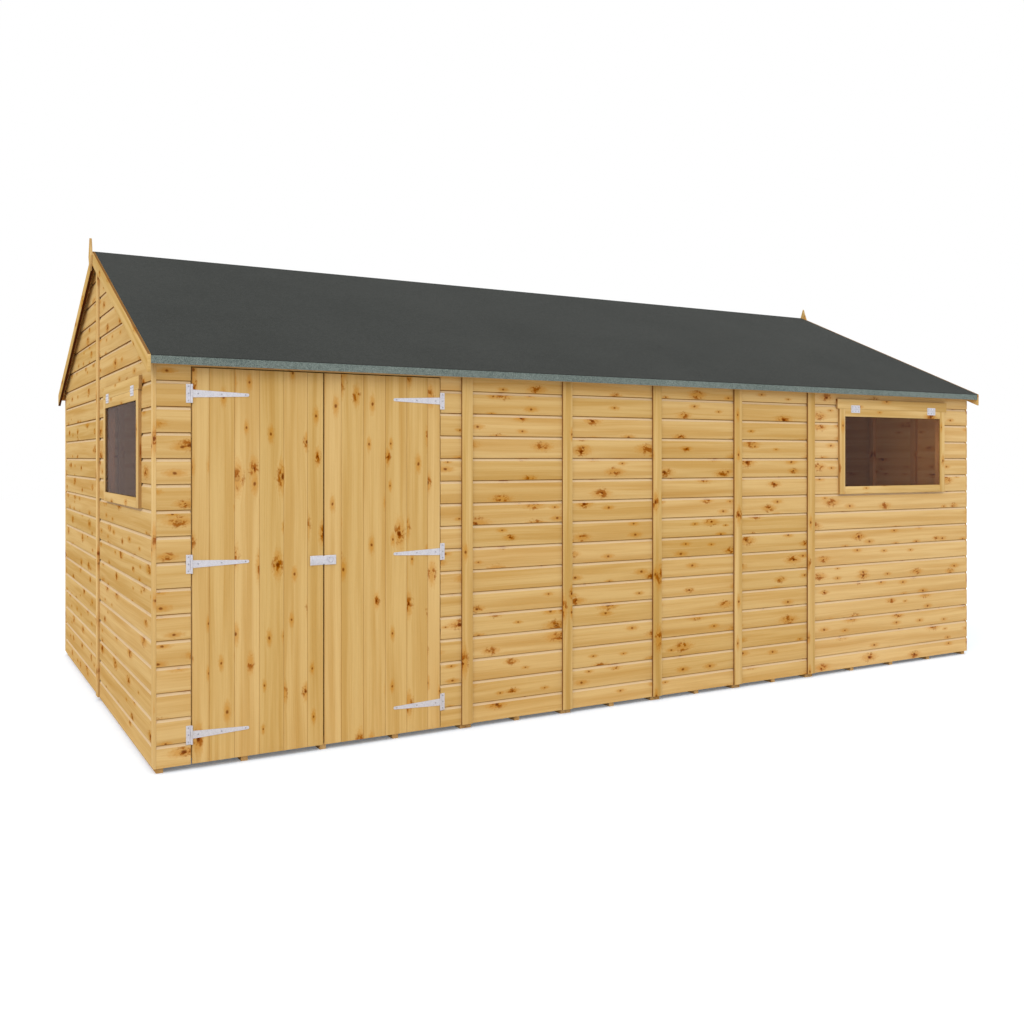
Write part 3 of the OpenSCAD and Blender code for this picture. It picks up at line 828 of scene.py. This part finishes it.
def leafLedges(side, plan):
    node = side + "_door_ledges"
    low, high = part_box(node)
    width = leaf["ledgeWidth"]
    levels = [low.z, (low.z + high.z - width) / 2, high.z - width]
    planks = [addPlank((low.x, low.y, level), (high.x, high.y, level + width), leaf["ledgeArris"])
              for level in levels]
    run = plan["lean"] * (high.x - low.x - width)
    rise = levels[1] - levels[0]
    foot = low.x if plan["lean"] > 0 else high.x - width
    for lower, upper in zip(levels, levels[1:]):
        bottom, top = lower + width, upper
        start = foot + run / rise * width / 2
        brace = addBlock((start, low.y, bottom), (start + width, high.y, top))
        editAll()
        pickVerts(lambda co: co.z > top - 1e-4)
        bpy.ops.transform.translate(value=(run / rise * (top - bottom), 0, 0))
        bpy.ops.mesh.select_all(action="SELECT")
        bpy.ops.mesh.bevel(offset=leaf["ledgeArris"], segments=2, affect="EDGES")
        endEdit()
        planks.append(brace)
    piece = joinAll(node + "-planks", planks)
    layGrain(piece, [acrossX, Vector((run, 0, rise)).normalized()])
    finishPiece(piece, "doorPine", plan["body"], "framing_pine", node)


for side, plan in leaves.items():
    leafBoards(side, plan)
    leafLedges(side, plan)
print("shed: doors made")


# Trim: strips, corner boards, barge boards, finials and head strips, with softened edges and painted shade,
# brown, on the edges

trim = {"arris": 0.0015, "sashEdgeShade": 1.8, "underSideShade": 2.5, "cornerY": 0.5}
trimPieces = {  # which ways the grain may run, and how dark the painted shade on the edges is, on the scale of the grooves
    "front_cover_strips": {"ways": [upZ], "edge": 1.92},
    "back_cover_strips": {"ways": [upZ], "edge": 1.92},
    "gable_trims": {"ways": [upZ], "edge": 1.74, "tones": (1.2, 1.9)},
    "left_barge_boards": {"ways": [slopeFront, slopeBack], "edge": 2.08, "tones": (-0.3, 0.5)},
    "right_barge_boards": {"ways": [slopeFront, slopeBack], "edge": 2.08, "tones": (-0.3, 0.5)},
    "finials": {"ways": [upZ], "edge": 1.7},
    "window_head_strips": {"ways": [acrossX, acrossY], "edge": 1.82, "tones": (0.7, 1.4)},
}


def paintsEdgeShade(node):
    # the edges of corner boards get no painted shade
    if node == "gable_trims":
        return lambda co: abs(co.y) < trim["cornerY"]
    return lambda co: True


def softenedCopy(node, arris):
    # the node's own shape with its edges planed off
    piece = bpy.data.objects.new(node + "-planed", nodes[node].data.copy())
    bpy.context.scene.collection.objects.link(piece)
    takeUp(piece)
    editAll()
    bpy.ops.mesh.remove_doubles(threshold=1e-5)
    bpy.ops.mesh.dissolve_limited(angle_limit=math.radians(1))
    endEdit()
    softenEdges(piece, arris, 20)
    return piece


for node, plan in trimPieces.items():
    piece = softenedCopy(node, trim["arris"])
    # the edges get painted shade, except on the corner boards
    layGrain(piece, plan["ways"], plan["edge"], paintsEdgeShade(node), plan.get("tones", plainTones))
    if "barge" in node:  # upright ends get no painted shade, and the underside gets the darkest painted shade
        markFaces(piece, lambda normal: abs(normal.y) > 0.95, 0)
        markFaces(piece, lambda normal: normal.z < -0.6, trim["underSideShade"])
    finishPiece(piece, "trimPine", "shed", "trim_pine", node)
print("shed: trim made")


# Window sashes: stiles and rails with a rebate for the pane

windows = {
    "front": {"turn": 0, "wall": "front_window_wall", "middle": windowSize["frontX"]},
    "gable": {"turn": -90, "wall": "left_gable_front", "middle": -windowSize["gableY"]},
}


def sashBars(plan):
    angle = math.radians(plan["turn"])
    face = drawnBox(plan["wall"], angle)[0].y
    left, right = plan["middle"] - windowSize["width"] / 2, plan["middle"] + windowSize["width"] / 2
    bottom, top = sashBottom, sashBottom + windowSize["height"]
    rail, rebate = sash["rail"], sash["rebate"]
    step, front = face - sash["backDepth"], face - sash["depth"]
    bars = []
    for x0, x1, inset in ((left, left + rail, 1), (right - rail, right, -1)):
        bars.append(addPlank((x0, front, bottom), (x1, step, top), sash["arris"]))
        edge = rebate if inset > 0 else 0
        bars.append(addBlock((x0 + rebate - edge, step, bottom), (x1 - edge, face, top)))
    for z0, z1, inset in ((bottom, bottom + rail, 1), (top - rail, top, -1)):
        bars.append(addPlank((left + rail, front, z0), (right - rail, step, z1), sash["arris"]))
        edge = rebate if inset > 0 else 0
        bars.append(addBlock((left + rail - rebate, step, z0 + rebate - edge),
                             (right - rail + rebate, face, z1 - edge)))
    piece = joinAll("sash", bars)
    # the sash's edges get painted shade
    layGrain(piece, [acrossX, upZ], trim["sashEdgeShade"], tones=sash["tones"])
    turnPiece(piece, angle)
    return piece


sashes = joinAll("window_sashes-bars", [sashBars(plan) for plan in windows.values()])
finishPiece(sashes, "trimPine", "shed", "trim_pine", "window_sashes")
print("shed: sashes made")


# Floor boards, panel by panel, and the roof boards that show from inside

flooring = {"cover": 0.095, "vee": 0.0012, "veeShadeDepth": 1.75}


def rowOfBoards(low, high, vee, isSeen):
    # one board along X with its seen long edges chamfered, repeated across Y
    board = addBlock(low, (high.x, low.y + vee["cover"], high.z))
    editAll()
    pickEdges(lambda a, b: abs(a.x - b.x) > 0.1 and isSeen(a) and isSeen(b))
    bpy.ops.mesh.bevel(offset=vee["vee"], segments=1, affect="EDGES")
    endEdit()
    repeatPiece(board, math.ceil((high.y - low.y) / vee["cover"]), (0, vee["cover"], 0))
    cutOff(board, high, (0, 1, 0))
    return board


floorLow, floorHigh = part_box("floor_deck")
floorEnds = [floorLow.x - panelGap / 2] + panelJoints + [floorHigh.x + panelGap / 2]
floorRows = [rowOfBoards(Vector((start + panelGap / 2, floorLow.y, floorLow.z)),
                         Vector((end - panelGap / 2, floorHigh.y, floorHigh.z)), flooring,
                         lambda co: co.z > floorHigh.z - 1e-5)
             for start, end in zip(floorEnds, floorEnds[1:])]
floorBoards = joinAll("floor_deck-boards", floorRows)
# painted shade in the Vs of the floor boards
markFaces(floorBoards, lambda normal: 0.3 < normal.z < 0.95, flooring["veeShadeDepth"])
layGrain(floorBoards, [acrossX])
finishPiece(floorBoards, "floorPine", "shed", "floor_pine", "floor_deck")

decking = {"cover": 0.105, "vee": 0.0025, "veeShadeDepth": 1.75, "thick": 0.012}


def roofBoards(node, turn):
    # drawn flat with the ridge at Y = 0, tilted to the front slope, then turned for the back one
    low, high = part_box(node)
    out = max(-low.y, high.y)
    thick = decking["thick"]
    length = out / math.cos(roof["pitch"]) + thick
    piece = rowOfBoards(Vector((low.x, -length, -thick)), Vector((high.x, thick, 0)), decking,
                        lambda co: co.z < -thick + 1e-5)
    # painted shade in the Vs of the roof boards
    markFaces(piece, lambda normal: -0.95 < normal.z < -0.3, decking["veeShadeDepth"])
    layGrain(piece, [acrossX])
    takeUp(piece)
    piece.rotation_euler = (roof["pitch"], 0, 0)
    piece.location = (0, 0, high.z)
    bpy.ops.object.transform_apply(location=True, rotation=True, scale=True)
    cutOff(piece, (0, 0, 0), (0, 1, 0))
    cutOff(piece, (0, -out, 0), (0, -1, 0))
    turnPiece(piece, turn)
    piece.name = node + "-boards"
    finishPiece(piece, "roofPine", "shed", "framing_pine", node)


roofBoards("front_roof_deck", 0)
roofBoards("back_roof_deck", math.pi)
print("shed: floor and roof boards made")


# Screws in the hinges

screw = {
    "radius": 0.0036, "height": 0.0012, "dome": 0.0005, "recess": 0.0009, "sides": 12,
    "rim": 0.3, "land": 0.36, "lip": 0.06,  # rings of the head, as shares of the radius
}
iron = {
    "thick": 0.0025,
    "levels": (0.152, 0.897, 1.642),  # middles of the T-hinges
    "plateWidth": 0.020,
    "plateLifts": (-0.031, 0, 0.031),
    "strapSteps": (0.032, 0.134, 0.24),  # from the strap's end at the pin
    "buttX": 0.365,
    "buttHalf": 0.013,
    "buttSteps": (-0.027, 0, 0.027),
}


def makeScrew():
    # a domed head with a recess for the driver, looking up
    clearSelection()
    bpy.ops.mesh.primitive_cylinder_add(vertices=screw["sides"], radius=screw["radius"],
                                        depth=screw["height"], location=(0, 0, screw["height"] / 2))
    head = bpy.context.object
    bpy.ops.object.transform_apply(location=True, rotation=True, scale=True)
    editAll()
    pickFaces(lambda face: face.normal.z > 0.9)
    bpy.ops.mesh.inset(thickness=screw["radius"] * screw["rim"], depth=screw["dome"])
    bpy.ops.mesh.inset(thickness=screw["radius"] * screw["land"], depth=0)
    bpy.ops.mesh.inset(thickness=screw["radius"] * screw["lip"], depth=-screw["recess"])
    endEdit()
    return head


def placeScrews(name, places, turn, body):
    # a copy of the screw at each place, its head towards the viewer of that wall
    copies = []
    for place in places:
        copy = screwHead.copy()
        copy.data = screwHead.data.copy()
        bpy.context.scene.collection.objects.link(copy)
        copy.rotation_euler = (math.radians(90), dice.uniform(0, math.pi), 0)
        copy.location = place
        takeUp(copy)
        bpy.ops.object.transform_apply(location=True, rotation=True, scale=True)
        copies.append(copy)
    piece = joinAll(name, copies)
    turnPiece(piece, turn)
    finishPiece(piece, "screwSteel", body, "galvanised")


screwHead = makeScrew()
plateLow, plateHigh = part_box("hinge_plates")
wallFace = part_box("front_wall_left")[0].y
plateMiddles = (plateLow.x + iron["plateWidth"] / 2, plateHigh.x - iron["plateWidth"] / 2)
platePlaces = [Vector((x, wallFace - iron["thick"], level + lift))
               for x in plateMiddles for level in iron["levels"] for lift in iron["plateLifts"]]
placeScrews("hinge_plates-screws", platePlaces, 0, "shed")
for side, plan in leaves.items():
    strapLow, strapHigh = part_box(side + "_door_straps")
    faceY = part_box(side + "_door_boards")[0].y - iron["thick"]
    pin = strapLow.x if plan["lean"] > 0 else strapHigh.x
    places = [Vector((pin + plan["lean"] * step, faceY, level))
              for level in iron["levels"] for step in iron["strapSteps"]]
    placeScrews(side + "_door_straps-screws", places, 0, plan["body"])
headLevel = sashBottom + windowSize["height"]
for name, plan in windows.items():
    angle = math.radians(plan["turn"])
    faceY = drawnBox(plan["wall"], angle)[0].y - sash["depth"] - iron["thick"]
    places = [Vector((plan["middle"] + way * iron["buttX"] + step, faceY, headLevel + lift))
              for way in (-1, 1) for step in iron["buttSteps"]
              for lift in (-iron["buttHalf"], iron["buttHalf"])]
    placeScrews(name + "_window_hinges-screws", places, angle, "shed")
bpy.data.objects.remove(screwHead)
print("shed: screws set")


# Hasp strap: hinged on the left leaf, its slot over the staple of the right leaf

hasp = {
    "waist": 0.8,  # height of the narrow part, as a share
    "waistStart": (0.012, 0.022),  # where it narrows, from the knuckle
    "waistEnd": (0.034, 0.024),  # where it widens again, before the middle of the slot
    "slotWide": 0.031, "slotTall": 0.022, "slotRound": 0.009, "slotSteps": 5,
    "cutReach": 0.02,
    "over": 0.004,  # reach past the staple's plate
    "arris": 0.0005,
    "knuckle": 0.0046, "knuckleSides": 20, "knuckleArris": 0.0008,
    "sharper": 40,
}


def haspStrap():
    plateLow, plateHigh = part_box("hasp_plate")
    stapleLow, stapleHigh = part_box("hasp_staple")
    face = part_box("left_door_boards")[0].y - iron["thick"]
    left, right = plateLow.x + iron["thick"], stapleHigh.x + hasp["over"]
    level = (plateLow.z + plateHigh.z) / 2
    slotX = (stapleLow.x + stapleHigh.x) / 2
    strap = addBlock((left, face - iron["thick"], plateLow.z), (right, face, plateHigh.z))
    editAll()
    cuts = [left + step for step in hasp["waistStart"]] + [slotX - step for step in hasp["waistEnd"]]
    for x in cuts:
        bpy.ops.mesh.select_all(action="SELECT")
        bpy.ops.mesh.bisect(plane_co=(x, 0, 0), plane_no=(1, 0, 0))
    pickVerts(lambda co: cuts[1] - 1e-4 < co.x < cuts[2] + 1e-4)
    bpy.ops.transform.resize(value=(1, 1, hasp["waist"]), center_override=(0, 0, level))
    endEdit()
    halfSlot = Vector((hasp["slotWide"] / 2, hasp["cutReach"], hasp["slotTall"] / 2))
    middle = Vector((slotX, face, level))
    cutter = addBlock(middle - halfSlot, middle + halfSlot)
    editAll()
    pickEdges(lambda a, b: abs(a.y - b.y) > hasp["cutReach"])
    bpy.ops.mesh.bevel(offset=hasp["slotRound"], segments=hasp["slotSteps"], affect="EDGES")
    endEdit()
    applyModifier(strap, "BOOLEAN", {"operation": "DIFFERENCE", "object": cutter, "solver": "EXACT"})
    bpy.data.objects.remove(cutter)
    softenEdges(strap, hasp["arris"], hasp["sharper"])
    clearSelection()
    bpy.ops.mesh.primitive_cylinder_add(vertices=hasp["knuckleSides"], radius=hasp["knuckle"],
                                        depth=plateHigh.z - plateLow.z,
                                        location=(left, face - iron["thick"], level))
    knuckle = bpy.context.object
    bpy.ops.object.transform_apply(location=True, rotation=True, scale=True)
    softenEdges(knuckle, hasp["knuckleArris"], hasp["sharper"])
    finishPiece(joinAll("hasp_strap", [strap, knuckle]), "galvanised", "left_door", "galvanised")


haspStrap()
print("shed: hasp strap made")


# Stage: plain pale floor, white surroundings, soft light

studio = {
    "dome": 0.74,
    "sun": 1.3, "sunAngle": math.radians(55), "sunPlace": (-4, -5, 8),
    "sunTilt": math.radians(50), "sunTurn": math.radians(-42),
    "floorSize": 60, "floorTone": (0.82, 0.82, 0.82, 1), "floorSeen": (0.98, 0.98, 0.98, 1),
    "openGlow": (0.135, 0.225, 0.32, 1),  # clears the warm light of the shed from the white floor
    "shadeGlow": (0.09, 0.113, 0.132, 1), "shadeEdge": (-0.02, 0.05),  # under the walls, from the deck's edge
    "fills": [((2.26, -1.36, 1.42), 2.6), ((-2.15, 0.75, 1.35), 2.0)], "fillSize": 0.15,
}

clearSelection()
bpy.ops.mesh.primitive_plane_add(size=studio["floorSize"])
floor = bpy.context.object
floor.name = "studioFloor"
floorMaterial, tree, principled = startMaterial("studioFloor")
path = addNode(tree, "ShaderNodeLightPath").outputs
seen = calc(tree, "MAXIMUM", path["Is Camera Ray"], path["Is Transmission Ray"])
tone = mixColour(tree, seen, studio["floorTone"], studio["floorSeen"])
# the floor glows for camera rays, a painted light: bluish in the open to clear the warm light of the shed,
# and weaker under the walls as a painted shadow
ground = addNode(tree, "ShaderNodeNewGeometry").outputs["Position"]
ground = addNode(tree, "ShaderNodeSeparateXYZ", {}, {0: ground}).outputs
beyond = calc(tree, "MAXIMUM", calc(tree, "SUBTRACT", calc(tree, "ABSOLUTE", ground[0]), floorHigh.x),
              calc(tree, "SUBTRACT", calc(tree, "ABSOLUTE", ground[1]), floorHigh.y))
glow = mixColour(tree, fade(tree, beyond, *studio["shadeEdge"]), studio["shadeGlow"], studio["openGlow"])
tree.links.new(glow, principled.inputs["Emission Color"])
tree.links.new(seen, principled.inputs["Emission Strength"])
tree.links.new(tone, principled.inputs["Base Color"])
principled.inputs["Roughness"].default_value = 0.9
principled.inputs["Specular IOR Level"].default_value = 0.0
floor.data.materials.append(floorMaterial)

world = bpy.data.worlds.new("studio")
bpy.context.scene.world = world
world.use_nodes = True
tree = world.node_tree
tree.nodes.clear()
path = addNode(tree, "ShaderNodeLightPath").outputs
seen = calc(tree, "MAXIMUM", path["Is Camera Ray"], path["Is Glossy Ray"])
seen = calc(tree, "MAXIMUM", seen, path["Is Transmission Ray"])
dome = addNode(tree, "ShaderNodeBackground", {}, {"Color": (1, 1, 1, 1), "Strength": studio["dome"]})
white = addNode(tree, "ShaderNodeBackground", {}, {"Color": (1, 1, 1, 1), "Strength": 1.0})
both = addNode(tree, "ShaderNodeMixShader", {}, {0: seen, 1: dome.outputs[0], 2: white.outputs[0]})
addNode(tree, "ShaderNodeOutputWorld", {}, {"Surface": both.outputs[0]})

bpy.ops.object.light_add(type="SUN", location=studio["sunPlace"],
                         rotation=(studio["sunTilt"], 0, studio["sunTurn"]))
sun = bpy.context.object
sun.data.energy = studio["sun"]
sun.data.angle = studio["sunAngle"]
for place, power in studio["fills"]:  # faint fill, so the inside shows
    bpy.ops.object.light_add(type="POINT", location=place)
    fill = bpy.context.object
    fill.data.energy = power
    fill.data.shadow_soft_size = studio["fillSize"]
    fill.visible_camera = False
    fill.visible_transmission = False
    fill.visible_glossy = False
print("shed: studio lit")


# CAD nodes that keep their shape

kept = {
    "front_roof_felt": "roofFelt", "back_roof_felt": "roofFelt", "eaves_felt": "eavesFelt",
    "window_panes": "pane", "window_hinges": "galvanised", "hinge_plates": "galvanised",
    "left_door_straps": "galvanised", "right_door_straps": "galvanised",
    "hasp_plate": "galvanised", "hasp_staple": "galvanised",
}
kept.update({node: "sawn-" + lay for node, lay in framing.items()})
for node, material in kept.items():
    for place in nodes[node].material_slots:
        place.material = materials[material]
print("shed: kept nodes dressed,", len(kept))
